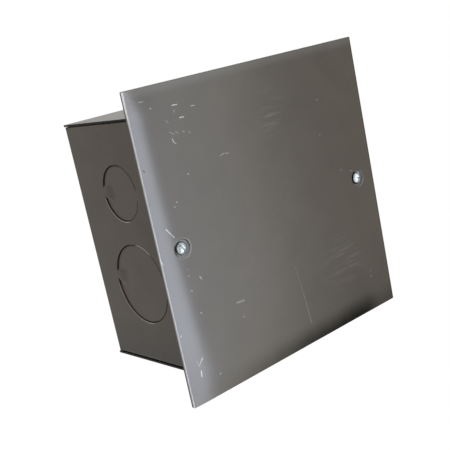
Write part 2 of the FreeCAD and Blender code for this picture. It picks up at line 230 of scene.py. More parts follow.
class Surface(Graph):
    """A material's graph with the place on the object in millimetres."""

    def __init__(self, name: str) -> None:
        """Make an empty material that reads its place from Object coordinates."""
        self.material = bpy.data.materials.new(name)
        self.material.use_nodes = True
        super().__init__(self.material.node_tree)
        self.place = self.scaled(self.node("ShaderNodeTexCoord", output="Object"), 1 / MM)
        self.x, self.y, self.z = (
            self.node("ShaderNodeSeparateXYZ", {}, {0: self.place}, axis) for axis in range(3)
        )

    def flat(self, across: Signal, up: Signal) -> Signal:
        """Make a point of two coordinates on a wall."""
        return self.node("ShaderNodeCombineXYZ", {}, {0: across, 1: up, 2: 0.0})

    def stretched(self, across: float, deep: float, up: float, turn: float = 0.0) -> Signal:
        """Give the place scaled along each axis, turned about Y by an angle in degrees."""
        values = {
            "Vector": self.place,
            "Rotation": (0.0, math.radians(turn), 0.0),
            "Scale": (across, deep, up),
        }
        return self.node("ShaderNodeMapping", {"vector_type": "POINT"}, values)

    def patch(self, point: Signal, centre: Pair, radii: Pair) -> Signal:
        """Give a soft oval mask.

        Args:
            point: Two coordinates on a wall, in millimetres.
            centre: The middle of the oval.
            radii: Its half width and half height.

        Returns:
            One in the middle, falling smoothly to nought at the edge of the oval.
        """
        offset = self.vector("SUBTRACT", point, (*centre, 0.0))
        shrunk = self.vector("MULTIPLY", offset, (1 / radii[0], 1 / radii[1], 0.0))
        return self.vector("LENGTH", shrunk, output=1).ease(1.0, 0.0)

    def line(self, point: Signal, start: Pair, end: Pair, width: float) -> Signal:
        """Give a mask along a straight line, from the distance to its nearest point.

        Args:
            point: Two coordinates on a wall, in millimetres.
            start: One end of the line.
            end: The other end.
            width: Full width of the line.

        Returns:
            One on the line, falling smoothly to nought at half the width.
        """
        way = Vector((*end, 0.0)) - Vector((*start, 0.0))
        length = max(way.length, 0.001)
        way = way / length
        offset = self.vector("SUBTRACT", point, (*start, 0.0))
        along = self.vector("DOT_PRODUCT", offset, tuple(way), output=1)
        held = along.at_least(0.0).at_most(length)
        gap = self.vector("DISTANCE", offset, self.scaled(tuple(way), held), output=1)
        return gap.ease(width / 2, 0.0)

    def arc(
        self,
        point: Signal,
        centre: Pair,
        radius: float,
        width: float,
        middle: float,
        spread: float,
    ) -> Signal:
        """Give a mask along part of a circle.

        Args:
            point: Two coordinates on a wall, in millimetres.
            centre: The middle of the circle.
            radius: Its radius.
            width: Full width of the line.
            middle: Direction of the middle of the arc, in degrees.
            spread: Half the angle that the arc covers, in degrees.

        Returns:
            One on the arc, falling smoothly to nought round it.
        """
        offset = self.vector("SUBTRACT", point, (*centre, 0.0))
        gap = abs(self.vector("LENGTH", offset, output=1) - radius)
        way = (math.cos(math.radians(middle)), math.sin(math.radians(middle)), 0.0)
        facing = self.vector("DOT_PRODUCT", self.vector("NORMALIZE", offset), way, output=1)
        ends = facing.ease(math.cos(math.radians(spread)), math.cos(math.radians(spread * 0.7)))
        return gap.ease(width / 2, 0.0) * ends

    def finish(
        self,
        colour: object,
        roughness: object,
        metallic: object,
        height: Signal,
        reflectivity: float = 1.5,
    ) -> bpy.types.Material:
        """Join the look to the shader.

        Args:
            colour: Base colour.
            roughness: Roughness.
            metallic: Share of bare metal.
            height: Height of the surface in millimetres, for its bump.
            reflectivity: Index of refraction of the paint.

        Returns:
            The finished material.
        """
        bump = {"Strength": 1.0, "Distance": MM, "Height": height}
        values = {
            "Base Color": colour,
            "Roughness": roughness,
            "Metallic": metallic,
            "IOR": reflectivity,
            "Normal": self.node("ShaderNodeBump", {}, bump),
        }
        shader = self.node("ShaderNodeBsdfPrincipled", {}, values)
        self.node("ShaderNodeOutputMaterial", {}, {"Surface": shader})
        return self.material


@dataclass(frozen=True)
class Band:
    """A share that eases in smoothly while a value goes from a start to an end."""

    start: float
    end: float
    share: float = 1.0

    def of(self, value: Signal) -> Signal:
        """Give the share at a value."""
        eased = value.ease(self.start, self.end)
        return eased if self.share == 1.0 else eased * self.share


@dataclass(frozen=True)
class Tone:
    """Slow patches and fine grain that shade a paint between its two colours."""

    patch_scale: float
    grain_scale: float
    patch_share: float
    grain_share: float
    patch_detail: float = 3.0

    def shade(self, surface: Surface) -> tuple[Signal, Signal]:
        """Give the shade, about a half, and the grain alone, about nought."""
        patches = surface.noise(surface.place, self.patch_scale, self.patch_detail) - 0.5
        grain = surface.noise(surface.place, self.grain_scale) - 0.5
        return patches * self.patch_share + grain * self.grain_share + 0.5, grain


@dataclass(frozen=True)
class Mark:
    """A scratch or a speck on a flat face, in millimetres.

    A positive tone shows bare metal or dust, a negative one a speck of soil.
    """

    start: Pair
    end: Pair
    width: float
    tone: float

    @classmethod
    def rows(cls, *rows: tuple[float, ...]) -> tuple["Mark", ...]:
        """Make marks from rows that give both ends, the width and the tone."""
        return tuple(cls(row[:2], row[2:4], *row[4:]) for row in rows)

    def mask(self, surface: Surface, point: Signal) -> Signal:
        """Give the mark's cover of a face, from nought to the strength of its tone."""
        return surface.line(point, self.start, self.end, self.width) * abs(self.tone)


@dataclass(frozen=True)
class Rim:
    """Painted highlight or painted shade along part of the edge of a knockout or round a screw.

    Lengths are in millimetres and the angles in degrees; a positive tone lays a painted
    highlight, a negative one painted shade.
    """

    centre: Pair
    radius: float
    width: float
    middle: float
    spread: float
    tone: float

    @classmethod
    def rows(cls, centre: Pair, *rows: tuple[float, ...]) -> tuple["Rim", ...]:
        """Make rims round a centre from rows of their other values."""
        return tuple(cls(centre, *row) for row in rows)

    def mask(self, surface: Surface, point: Signal) -> Signal:
        """Give the rim's cover of a face, from nought to the strength of its tone."""
        drawn = surface.arc(point, self.centre, self.radius, self.width, self.middle, self.spread)
        return drawn * abs(self.tone)


def total(masks: list[Signal]) -> Signal:
    """Lay masks over one another, keeping the strongest at each place."""
    laid = masks[0]
    for mask in masks[1:]:
        laid = laid.at_least(mask)
    return laid


def lighter_and_darker(
    drawn: tuple[Mark | Rim, ...], surface: Surface, point: Signal
) -> tuple[Signal, Signal]:
    """Give the masks of the positive and of the negative tones of some marks or rims."""
    wear_and_highlight = total([mark.mask(surface, point) for mark in drawn if mark.tone > 0.0])
    dirty = total([mark.mask(surface, point) for mark in drawn if mark.tone < 0.0])
    return wear_and_highlight, dirty


@dataclass(frozen=True)
class Margin:
    """A margin of the sheet that its shearing left bent back by a small angle."""

    width: float
    tilt: float
    softness: float

    def drop(
        self, inset: Signal, extra: Signal | float = 0.0, softer: Signal | float = 0.0
    ) -> Signal:
        """Give how far the margin falls back.

        The fall is the tangent of the tilt times the distance past the bend,
        eased over the softness by a smooth maximum.

        Args:
            inset: Distance from the edge, in millimetres.
            extra: Width to add to the margin.
            softer: Softness to add to its bend.

        Returns:
            The fall in millimetres.
        """
        past = extra + self.width - inset
        eased = past.math("SMOOTH_MAX", past, 0.0, self.softness + softer)
        return eased * math.tan(math.radians(self.tilt))

    def fall(self, inset: np.ndarray) -> np.ndarray:
        """Give the same fall for places on a mesh, with the smooth maximum written out."""
        past = self.width - inset
        near = np.clip(1.0 - np.abs(past) / self.softness, 0.0, 1.0)
        eased = np.maximum(past, 0.0) + near**3 * self.softness / 6.0
        return eased * math.tan(math.radians(self.tilt))


@dataclass(frozen=True)
class CoverPaint:
    """Scratched satin grey-brown paint of the cover, with bare sheared edges.

    The bands, the heights and the margins are in millimetres, apart from the
    bands that are named after noise.
    """

    dark: Colour = (46.0, 39.0, 30.0)
    light: Colour = (62.0, 54.0, 43.0)
    # Light colour for scratches, dust and scuffs, and for the painted highlights round the screws.
    wear_and_highlight: Colour = (176.0, 176.0, 174.0)
    # Dark colour for dirt marks and for the painted shade along the lower edge, on the top and
    # right edges and in the screw recesses.
    grime_and_shade: Colour = (12.0, 13.0, 9.0)
    bare: Colour = (232.0, 230.0, 228.0)
    fracture: Colour = (58.0, 55.0, 52.0)
    roughness: float = 0.22
    cut_roughness: float = 0.15
    dulled_roughness: float = 0.045
    tone: Tone = Tone(0.045, 1.4, 0.8, 0.5)
    left_margin: Margin = Margin(8.0, 4.8, 7.0)
    left_bow: Margin = Margin(30.0, 0.9, 26.0)
    top_margin: Margin = Margin(6.0, 0.5, 2.0)
    widening_low: float = 8.4
    softening_low: float = 5.0
    softening: float = 1.5
    narrowing_top: float = 7.0
    narrowing_foot: Band = Band(22.0, 0.0, 5.5)
    grain_height: float = 0.005
    roll_height: float = 0.012
    roll_stretch: tuple[float, float, float] = (0.12, 0.12, 0.8)
    wear_depth: float = 0.03
    top_dust: Band = Band(7.0, 1.0, 0.06)
    chip_scale: float = 1.1
    chip_noise: Band = Band(0.34, 0.56, 0.6)
    # Painted shade: these bands darken the cover towards its lower edge, standing in for a dark
    # reflection, more faintly over its lower part, and at its upper left corner.
    lower_shade_fade: Band = Band(19.0, 3.0)
    lower_shade_spread: float = 6.0
    lower_shade_stretch: tuple[float, float, float] = (0.07, 0.07, 0.02)
    lower_shade_rise: Band = Band(-112.0, 50.0, 0.76)
    lower_shade_least: float = 0.06
    lower_shade_end: Band = Band(60.0, 80.0, -0.66)
    broad_shade_fade: Band = Band(66.0, 4.0)
    broad_shade_rise: Band = Band(-92.0, -40.0, 0.8)
    broad_shade_share: float = 0.16
    corner_share: float = 0.2
    scuff_stretch: tuple[float, float, float, float] = (0.05, 0.05, 0.4, 6.0)
    scuff_noise: Band = Band(0.48, 0.72)
    scuff_low: float = 0.055
    scuff_high: float = 0.06
    marks: tuple[Mark, ...] = Mark.rows(
        (-62.0, 78.4, -58.6, 78.2, 0.9, 0.95), (-61.4, 75.6, -61.6, 74.0, 0.8, 0.4),
        (-49.0, 75.4, -46.6, 75.2, 0.8, 0.6), (-58.4, 70.8, -55.8, 70.6, 1.0, 1.0),
        (-76.8, 79.8, -76.4, 79.6, 1.3, 0.4), (-68.2, 71.2, -67.0, 69.8, 0.8, 0.3),
        (-67.8, 64.6, -64.6, 62.8, 0.8, 0.28), (-63.2, 64.0, -61.8, 62.6, 0.8, 0.32),
        (-58.6, 63.0, -57.6, 62.6, 0.9, 0.4), (-54.4, 61.6, -53.6, 61.2, 0.9, 0.32),
        (-66.6, 60.6, -66.2, 58.6, 0.8, 0.7), (-66.2, 58.6, -64.8, 57.4, 0.8, 0.7),
        (-83.0, 84.4, -80.4, 84.2, 0.8, 0.4), (-36.0, 43.2, -32.6, 44.0, 0.7, 0.5),
        (-32.6, 44.0, -29.2, 43.2, 0.7, 0.45), (-61.3, 39.0, -60.8, 39.3, 1.2, 0.5),
        (-73.2, 26.2, -72.8, 26.0, 1.2, 0.5), (-75.2, 24.0, -74.8, 23.8, 1.1, 0.45),
        (-84.0, 13.4, -82.3, 10.8, 1.0, 0.9), (-82.3, 10.8, -80.0, 7.6, 0.8, 0.8),
        (-68.6, -19.6, -67.8, -21.2, 1.1, 0.7), (-76.0, -12.6, -75.6, -12.8, 1.0, 0.3),
        (-76.4, -16.4, -75.6, -16.8, 1.0, 0.3), (-77.0, -25.2, -75.8, -25.6, 1.0, 0.45),
        (-73.4, -39.8, -73.0, -40.2, 1.2, 0.6), (-90.2, -48.2, -89.6, -47.8, 1.2, 0.7),
        (-46.0, -44.0, -40.5, -44.4, 2.2, 0.22), (-43.2, -54.0, -42.8, -54.0, 1.4, 0.25),
        (-79.2, -65.6, -81.0, -67.4, 0.9, 1.0), (-81.0, -67.4, -83.0, -69.2, 0.7, 0.9),
        (-83.6, -66.0, -83.2, -68.0, 0.7, 0.4), (-82.0, -72.6, -82.4, -75.8, 1.3, 1.0),
        (-69.2, -80.0, -68.8, -80.0, 1.2, 0.5), (5.0, -38.0, 8.0, -58.0, 0.5, 0.14),
        (8.0, -58.0, 10.2, -79.0, 0.5, 0.3), (51.0, 58.0, 51.8, 58.2, 1.0, 0.35),
        (48.0, 36.0, 48.6, 36.2, 1.0, 0.3), (61.6, 9.0, 62.6, 9.2, 1.0, 0.22),
        (70.4, 6.2, 72.4, 6.0, 0.8, 0.4), (73.0, -65.0, 73.5, -65.2, 1.0, 0.4),
        (73.0, -69.0, 73.5, -69.0, 1.0, 0.35), (-91.9, -1.2, -91.2, -4.6, 1.2, 1.0),
        (-89.6, 48.4, -89.2, 47.6, 1.2, -1.0), (-84.8, 57.8, -84.4, 57.6, 1.0, -0.4),
        (-28.6, -69.0, -27.9, -69.2, 1.1, -0.4), (26.0, 15.0, 26.6, 15.1, 1.0, -0.35),
    )
    # Painted light round the screws: a lighter ring in each dimple and a highlight on its
    # shoulder, with painted shade in the recess beside the head.
    rims: tuple[Rim, ...] = (
        *Rim.rows(
            (-76.2, 0.0),
            (4.8, 3.4, 0.0, 180.0, 0.38), (6.3, 1.6, -15.0, 66.0, 0.16),
            (5.4, 1.0, 52.0, 66.0, -0.8), (3.75, 0.9, 190.0, 110.0, -1.0),
        ),
        *Rim.rows(
            (76.2, 0.0),
            (4.7, 3.0, 0.0, 180.0, 0.14), (6.2, 1.2, -50.0, 44.0, 0.14),
            (5.4, 1.0, 100.0, 70.0, -0.8), (3.9, 1.3, 195.0, 115.0, -1.0),
        ),
    )

    def build(self, half_side: float, front: float, sheet: float) -> bpy.types.Material:
        """Make the material.

        Args:
            half_side: Half the side of the cover, in millimetres.
            front: The Y of its front face, in millimetres.
            sheet: Its thickness, in millimetres.

        Returns:
            The finished material.
        """
        surface = Surface("cover_paint")
        point = surface.flat(surface.x, surface.z)
        from_left = surface.x + half_side
        from_foot = surface.z + half_side
        from_top = half_side - surface.z
        sunk = self.left_margin.drop(from_left)
        level = sunk - surface.y
        outer = level.ease(-front - 0.5, -front - 0.1)

        shade, grain = self.tone.shade(surface)
        # Painted shade towards the lower edge, standing in for a dark reflection, with the upper
        # left corner darkened as well.
        dirt_and_shade = self.dirt_and_shade(surface, from_foot)
        wear_and_highlight, dirty = lighter_and_darker(self.marks, surface, point)
        chips = self.chip_noise.of(surface.noise(surface.place, self.chip_scale))
        broken = chips + (1.0 - self.chip_noise.share)
        wear_and_highlight = (wear_and_highlight * broken + self.scuffs(surface, point)) * outer
        dirty = dirty * outer
        # Painted highlight and painted shade round the screw dimples.
        bright, dark = lighter_and_darker(self.rims, surface, point)
        # Painted shade: a thin darkening of the top and right edges of the front face.
        arris = surface.x.at_least(surface.z - 0.5).ease(half_side - 1.1, half_side - 0.6)
        # Painted highlight: a bright line along the outermost part of the left edge of the front
        # face.
        left_edge_highlight = surface.x.ease(0.65 - half_side, 0.3 - half_side) * outer
        reach = abs(surface.x).at_least(abs(surface.z))
        cut = reach.ease(half_side - 0.16, half_side - 0.06)

        colour = surface.layers(
            surface.blend(shade, linear(*self.dark), linear(*self.light)),
            (dirt_and_shade, self.grime_and_shade),
            (self.top_dust.of(from_top), self.wear_and_highlight),
            (dirty, self.grime_and_shade),
            (wear_and_highlight, self.wear_and_highlight),
            (bright, self.wear_and_highlight),
            (dark, self.grime_and_shade),
            (arris * 0.8, self.grime_and_shade),
            (left_edge_highlight * 0.5, self.bare),
        )
        colour = surface.blend(cut, colour, self.cut_edge(surface, level + front, sheet))

        height = self.bends(surface, from_left, from_foot) - self.top_margin.drop(from_top)
        rolled = surface.noise(surface.stretched(*self.roll_stretch), 1.0) * self.roll_height
        height = height + sunk + grain * self.grain_height + rolled - wear_and_highlight * self.wear_depth
        dulled = surface.x.ease(-40.0, -84.0) * surface.z.ease(-48.0, -92.0)
        roughness = cut * self.cut_roughness + dulled * self.dulled_roughness + self.roughness
        metallic = dirt_and_shade.at_least(cut * 0.85).at_least(dirty * 0.9).at_least(dark * 0.9)
        metallic = metallic.at_least(arris * 0.55)
        return surface.finish(colour, roughness, metallic, height, PAINT_INDEX)

    def bends(self, surface: Surface, from_left: Signal, from_foot: Signal) -> Signal:
        """Give the height of the bent left margin and of the bow beside it.

        The margin grows wider and softer downwards, and narrows again at both
        corners. The height is in millimetres and below nought.
        """
        lowness = ((70.0 - surface.z) / 150.0).at_least(0.0) ** 1.8
        highness = ((surface.z - 74.0) / 18.0).at_least(0.0) ** 2.0
        wider = lowness * self.widening_low - highness * self.narrowing_top
        wider = wider - self.narrowing_foot.of(from_foot)
        softer = lowness * self.softening_low + self.softening
        margin = self.left_margin.drop(from_left, wider, softer)
        return -1.0 * margin - self.left_bow.drop(from_left)

    def cut_edge(self, surface: Surface, depth: Signal, sheet: float) -> Signal:
        """Give the colour of the sheared edges, burnished on their outer part, with a painted
        glint that grows brighter towards the top.

        The depth is nought at the front face and less behind it.
        """
        burnished = depth.ease(-sheet * 0.5, -sheet * 0.36)
        # Painted highlight: the burnished metal is brightened towards the top of the edge.
        glint = surface.z.ease(70.0, 86.0) * 0.55 + 0.45
        return surface.blend(burnished * glint, linear(*self.fracture), linear(*self.bare))

    def dirt_and_shade(self, surface: Surface, from_foot: Signal) -> Signal:
        """Give the painted shade along the lower edge, heaviest right of the middle, which stands
        in for a dark reflection there.

        A fainter painted shade covers the lower part of the cover, growing to the right, and the
        upper left corner is made darker too.
        """
        ragged = surface.noise(surface.stretched(*self.lower_shade_stretch), 1.0) * self.lower_shade_spread
        fade = self.lower_shade_fade.of(from_foot + ragged)
        along = self.lower_shade_rise.of(surface.x) + self.lower_shade_least
        along = along * (self.lower_shade_end.of(surface.x) + 1.0)
        broad_shade = self.broad_shade_fade.of(from_foot)
        broad_shade = broad_shade * (self.broad_shade_rise.of(surface.x) + (1.0 - self.broad_shade_rise.share))
        corner = surface.x.ease(-64.0, -86.0) * surface.z.ease(74.0, 92.0)
        return (fade * along + broad_shade * self.broad_shade_share + corner * self.corner_share).at_most(1.0)

    def scuffs(self, surface: Surface, point: Signal) -> Signal:
        """Give faint scuffed streaks in two places."""
        noise = surface.noise(surface.stretched(*self.scuff_stretch), 1.0, 4.0)
        low = surface.patch(point, (50.0, -50.0), (32.0, 24.0))
        high = surface.patch(point, (11.0, 58.0), (17.0, 21.0))
        return self.scuff_noise.of(noise) * (low * self.scuff_low + high * self.scuff_high)


@dataclass(frozen=True)
class BoxPaint:
    """Satin brown-grey paint of the folded box and its end plates.

    An end plate keeps its sheared edges bare and blackened; the black is partly the cut steel's
    own dark colour and partly painted shade of the seam beneath the plate.
    """

    name: str
    edge: float | None = None
    dark: Colour = (62.0, 52.0, 40.0)
    light: Colour = (86.0, 74.0, 58.0)
    # Dark colour for dirt specks and for painted shade towards the bottom, in the knockout slots
    # and on the plate edges.
    grime_and_shade: Colour = (12.0, 11.0, 9.0)
    rust: Colour = (104.0, 62.0, 42.0)
    # Light colour for the painted highlights on the knockout rims.
    wear_and_highlight: Colour = (186.0, 180.0, 168.0)
    roughness: float = 0.34
    tone: Tone = Tone(0.05, 1.3, 0.9, 1.1)
    grain_height: float = 0.004
    # Painted shade: the paint darkens towards the bottom.
    low_painted_shade: Band = Band(-40.0, -78.0, 0.6)
    left_face: Band = Band(-80.0, -80.9)
    stain_share: float = 0.3
    # Painted shade in the slots of the knockouts and painted highlights on the rims where they
    # face the light.
    rims: tuple[Rim, ...] = (
        *Rim.rows(
            (-45.8, 32.8),
            (16.5, 2.0, 60.0, 52.0, -0.95), (16.7, 1.4, -48.0, 50.0, -0.95),
            (17.7, 1.1, -56.0, 52.0, 1.0), (17.4, 0.8, -140.0, 36.0, 0.3),
        ),
        *Rim.rows(
            (-45.8, -23.9),
            (24.2, 1.9, 56.0, 44.0, -0.95), (25.25, 1.1, 115.0, 17.0, 1.0),
            (24.4, 1.1, -48.0, 56.0, -0.7), (25.35, 1.1, -52.0, 54.0, 1.0),
            (24.3, 1.6, -92.0, 20.0, -0.9),
        ),
    )
    specks: tuple[Mark, ...] = Mark.rows(
        (-60.0, -43.0, -60.4, -43.4, 1.6, 0.8), (-64.5, -40.0, -64.7, -40.4, 1.3, 0.7),
        (-56.0, -46.5, -56.4, -46.7, 1.2, 0.7), (-24.0, -14.6, -24.2, -15.2, 1.5, 0.6),
        (-21.6, -19.0, -22.0, -20.2, 1.4, -0.9), (-30.5, 44.0, -30.9, 44.6, 1.1, 0.5),
        (-14.0, 60.0, -14.4, 60.2, 1.2, -0.4), (-35.0, 68.0, -37.0, 67.6, 1.0, -0.35),
        (-70.0, 60.4, -70.4, 60.0, 1.4, -0.6), (-46.6, 24.0, -47.0, 23.4, 1.2, -0.5),
        (-42.0, 27.8, -42.4, 27.4, 1.3, 0.5), (-47.0, -12.4, -47.4, -13.2, 1.4, -0.55),
        (-62.4, -9.6, -62.6, -10.2, 1.2, -0.6), (-52.6, -20.4, -53.0, -21.0, 1.0, 0.4),
    )

    def build(self) -> bpy.types.Material:
        """Make the material."""
        surface = Surface(self.name)
        point = surface.flat(surface.y, surface.z)
        shade, grain = self.tone.shade(surface)
        colour = surface.blend(shade, linear(*self.dark), linear(*self.light))
        # Painted shade towards the bottom of the box and its plates.
        colour = surface.layers(colour, (self.low_painted_shade.of(surface.z), self.grime_and_shade))
        if self.edge is None:
            left = self.left_face.of(surface.x)
            rust, dirt_and_shade = lighter_and_darker(self.specks, surface, point)
            # Painted highlight and painted shade round the knockouts; the dark arcs are laid
            # together with the dark specks.
            bright_rims, dark_rims = lighter_and_darker(self.rims, surface, point)
            stain = surface.patch(point, (-25.0, -30.0), (7.0, 12.0)) * self.stain_share
            colour = surface.layers(
                colour,
                (rust.at_least(stain) * left, self.rust),
                (dirt_and_shade.at_least(dark_rims) * left, self.grime_and_shade),
                (bright_rims * left, self.wear_and_highlight),
            )
            metallic = dark_rims * left * 0.9
        else:
            # Partly the dark cut steel and partly painted shade of the seam under the plate.
            sides = abs(surface.x).ease(self.edge - 0.16, self.edge - 0.06)
            metallic = sides.at_least(surface.y.ease(-0.16, -0.06))
            colour = surface.layers(colour, (metallic, self.grime_and_shade))
        return surface.finish(
            colour, self.roughness, metallic, grain * self.grain_height, PAINT_INDEX
        )


@dataclass(frozen=True)
class ScrewZinc:
    """Bright zinc plate of the cover screws, scraped, with the driver slots darkened by painted
    shade.
    """

    colour: Colour = (178.0, 188.0, 190.0)
    dull: Colour = (96.0, 104.0, 104.0)
    dirt_and_shade: Colour = (16.0, 20.0, 20.0)
    roughness: float = 0.3
    tarnish: Band = Band(0.5, 0.66, 0.8)
    uneven: float = 0.05
    slots: tuple[Mark, ...] = (
        Mark((-78.2, 3.3), (-74.2, -3.3), 1.25, 0.9),
        Mark((72.5, 1.3), (79.9, -1.3), 1.25, 0.9),
    )

    def build(self) -> bpy.types.Material:
        """Make the material."""
        surface = Surface("screw_zinc")
        point = surface.flat(surface.x, surface.z)
        tarnished = self.tarnish.of(surface.noise(surface.place, 0.9, 3.0))
        colour = surface.blend(tarnished, linear(*self.colour), linear(*self.dull))
        # Painted shade in the driver slots.
        slots = total([slot.mask(surface, point) for slot in self.slots])
        colour = surface.layers(colour, (slots, self.dirt_and_shade))
        height = surface.noise(surface.place, 1.6) * self.uneven
        return surface.finish(colour, self.roughness, 1.0, height)


def packed_mesh(node: str) -> bmesh.types.BMesh:
    """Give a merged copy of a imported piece, in millimetres.

    Args:
        node: Name of the piece's node.

    Returns:
        The copy, which the caller frees.
    """
    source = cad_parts[node]
    copy = bmesh.new()
    copy.from_mesh(source.data)
    bmesh.ops.transform(copy, matrix=source.matrix_world, verts=copy.verts)
    bmesh.ops.scale(copy, vec=(1 / MM, 1 / MM, 1 / MM), verts=copy.verts)
    bmesh.ops.remove_doubles(copy, verts=copy.verts, dist=MERGE_MM)
    return copy


@dataclass
class Skin:
    """Closed shells gathered into one mesh, in millimetres."""

    points: list[np.ndarray] = field(default_factory=list)
    faces: list[tuple[int, ...]] = field(default_factory=list)

    def add(self, points: np.ndarray, faces: list[tuple[int, ...]]) -> None:
        """Add a shell whose faces count from its own first point."""
        start = sum(len(group) for group in self.points)
        self.points.append(points)
        self.faces += [tuple(int(corner) + start for corner in face) for face in faces]

    def add_mesh(self, mesh: bmesh.types.BMesh, fall: Callable | None = None) -> None:
        """Add a mesh and free it, moved back by a function of its points if one is given."""
        mesh.verts.index_update()
        points = np.array([vertex.co[:] for vertex in mesh.verts])
        if fall is not None:
            points[:, 1] += fall(points)
        self.add(points, [tuple(v.index for v in face.verts) for face in mesh.faces])
        mesh.free()

    def add_tube(self, rings: np.ndarray) -> None:
        """Add a tube through rings of points, closed by a face at each end.

        Args:
            rings: Points as rings by points in a ring by three coordinates.
        """
        count, around = rings.shape[:2]
        index = np.arange(count * around).reshape(count, around)
        beside = np.roll(index, -1, axis=1)
        quads = np.stack([index[:-1], beside[:-1], beside[1:], index[1:]], axis=-1).reshape(-1, 4)
        ends = [tuple(index[0][::-1]), tuple(index[-1])]
        self.add(rings.reshape(-1, 3), [tuple(quad) for quad in quads] + ends)

    def build(self, name: str, material: bpy.types.Material, slot: str) -> bpy.types.Object:
        """Make the object, facing outward and smooth except at sharp edges."""
        mesh = bpy.data.meshes.new(name)
        places = np.concatenate(self.points) * MM
        mesh.from_pydata(places.tolist(), [], self.faces)
        shell = bmesh.new()
        shell.from_mesh(mesh)
        bmesh.ops.recalc_face_normals(shell, faces=shell.faces)
        shell.to_mesh(mesh)
        shell.free()
        mesh.shade_smooth()
        mesh.set_sharp_from_angle(angle=math.radians(SHARP_DEGREES))
        self.weigh_normals(mesh)
        mesh.materials.append(material)
        made = bpy.data.objects.new(name, mesh)
        bpy.context.scene.collection.objects.link(made)
        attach(made, "root")
        LOG.info("%s has %d faces", name, len(mesh.polygons))
        return made

    @staticmethod
    def weigh_normals(mesh: bpy.types.Mesh) -> None:
        """Turn the normals at smooth corners towards the larger faces that meet there.

        Each normal is the sum of the face normals times their areas. Corners on
        a sharp edge keep Blender's own normals.
        """
        faces, corners, edges = len(mesh.polygons), len(mesh.loops), len(mesh.edges)
        normal, area = np.empty(faces * 3), np.empty(faces)
        mesh.polygons.foreach_get("normal", normal)
        mesh.polygons.foreach_get("area", area)
        sides, corner = np.empty(faces, dtype=int), np.empty(corners, dtype=int)
        mesh.polygons.foreach_get("loop_total", sides)
        mesh.loops.foreach_get("vertex_index", corner)
        weighed = np.repeat(normal.reshape(-1, 3) * area[:, None], sides, axis=0)
        summed = np.zeros((len(mesh.vertices), 3))
        np.add.at(summed, corner, weighed)
        summed /= np.maximum(np.linalg.norm(summed, axis=1, keepdims=True), 1e-12)
        ends, sharp = np.empty(edges * 2, dtype=int), np.empty(edges, dtype=bool)
        mesh.edges.foreach_get("vertices", ends)
        mesh.edges.foreach_get("use_edge_sharp", sharp)
        summed[np.unique(ends.reshape(-1, 2)[sharp])] = 0.0
        mesh.normals_split_custom_set_from_vertices(summed.tolist())


@dataclass(frozen=True)
class CoverSheet:
    """The cover with its left margin bent back, as its shearing left it.

    Lengths are in millimetres.
    """

    node: str
    margin: Margin
    step: float = 1.0

    def build(self, paint: bpy.types.Material) -> None:
        """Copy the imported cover, cut it into strips along its left edge and bend them."""
        sheet = packed_mesh(self.node)
        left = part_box(self.node)[0].x / MM
        for inset in np.arange(self.step, self.margin.width + self.margin.softness, self.step):
            bmesh.ops.bisect_plane(
                sheet,
                geom=sheet.verts[:] + sheet.edges[:] + sheet.faces[:],
                dist=MERGE_MM / 2,
                plane_co=(left + float(inset), 0.0, 0.0),
                plane_no=(1.0, 0.0, 0.0),
            )
        skin = Skin()
        skin.add_mesh(sheet, lambda points: self.margin.fall(points[:, 0] - left))
        made = skin.build(f"{self.node}_bent", paint, "cover_paint")
        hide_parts(self.node)


class Wall(Enum):
    """A wall that has knockouts.

    Each value holds the middle of the wall's outer face in millimetres, then
    its across, up and outward directions.
    """

    LEFT = ((-81.0, 0.0, 0.0), (0.0, 1.0, 0.0), (0.0, 0.0, 1.0), (-1.0, 0.0, 0.0))
    RIGHT = ((81.0, 0.0, 0.0), (0.0, 1.0, 0.0), (0.0, 0.0, 1.0), (1.0, 0.0, 0.0))
    TOP = ((0.0, 0.0, 76.2), (1.0, 0.0, 0.0), (0.0, 1.0, 0.0), (0.0, 0.0, 1.0))
    BOTTOM = ((0.0, 0.0, -76.2), (-1.0, 0.0, 0.0), (0.0, 1.0, 0.0), (0.0, 0.0, -1.0))

    def place(self, points: np.ndarray) -> np.ndarray:
        """Turn across, up and outward distances into places on the object."""
        origin, across, up, outward = (np.array(part) for part in self.value)
        return origin + points @ np.stack([across, up, outward])


# The lip's outline: its distance out from the slot as a share of the lip's
# width, and its height over the wall as a share of the lip's height.
LIP_OUTLINE = np.array([
    (0.02, -0.3), (0.02, 0.1), (0.16, 0.8), (0.36, 1.0), (0.62, 0.7), (0.86, 0.25), (1.0, -0.3)
])


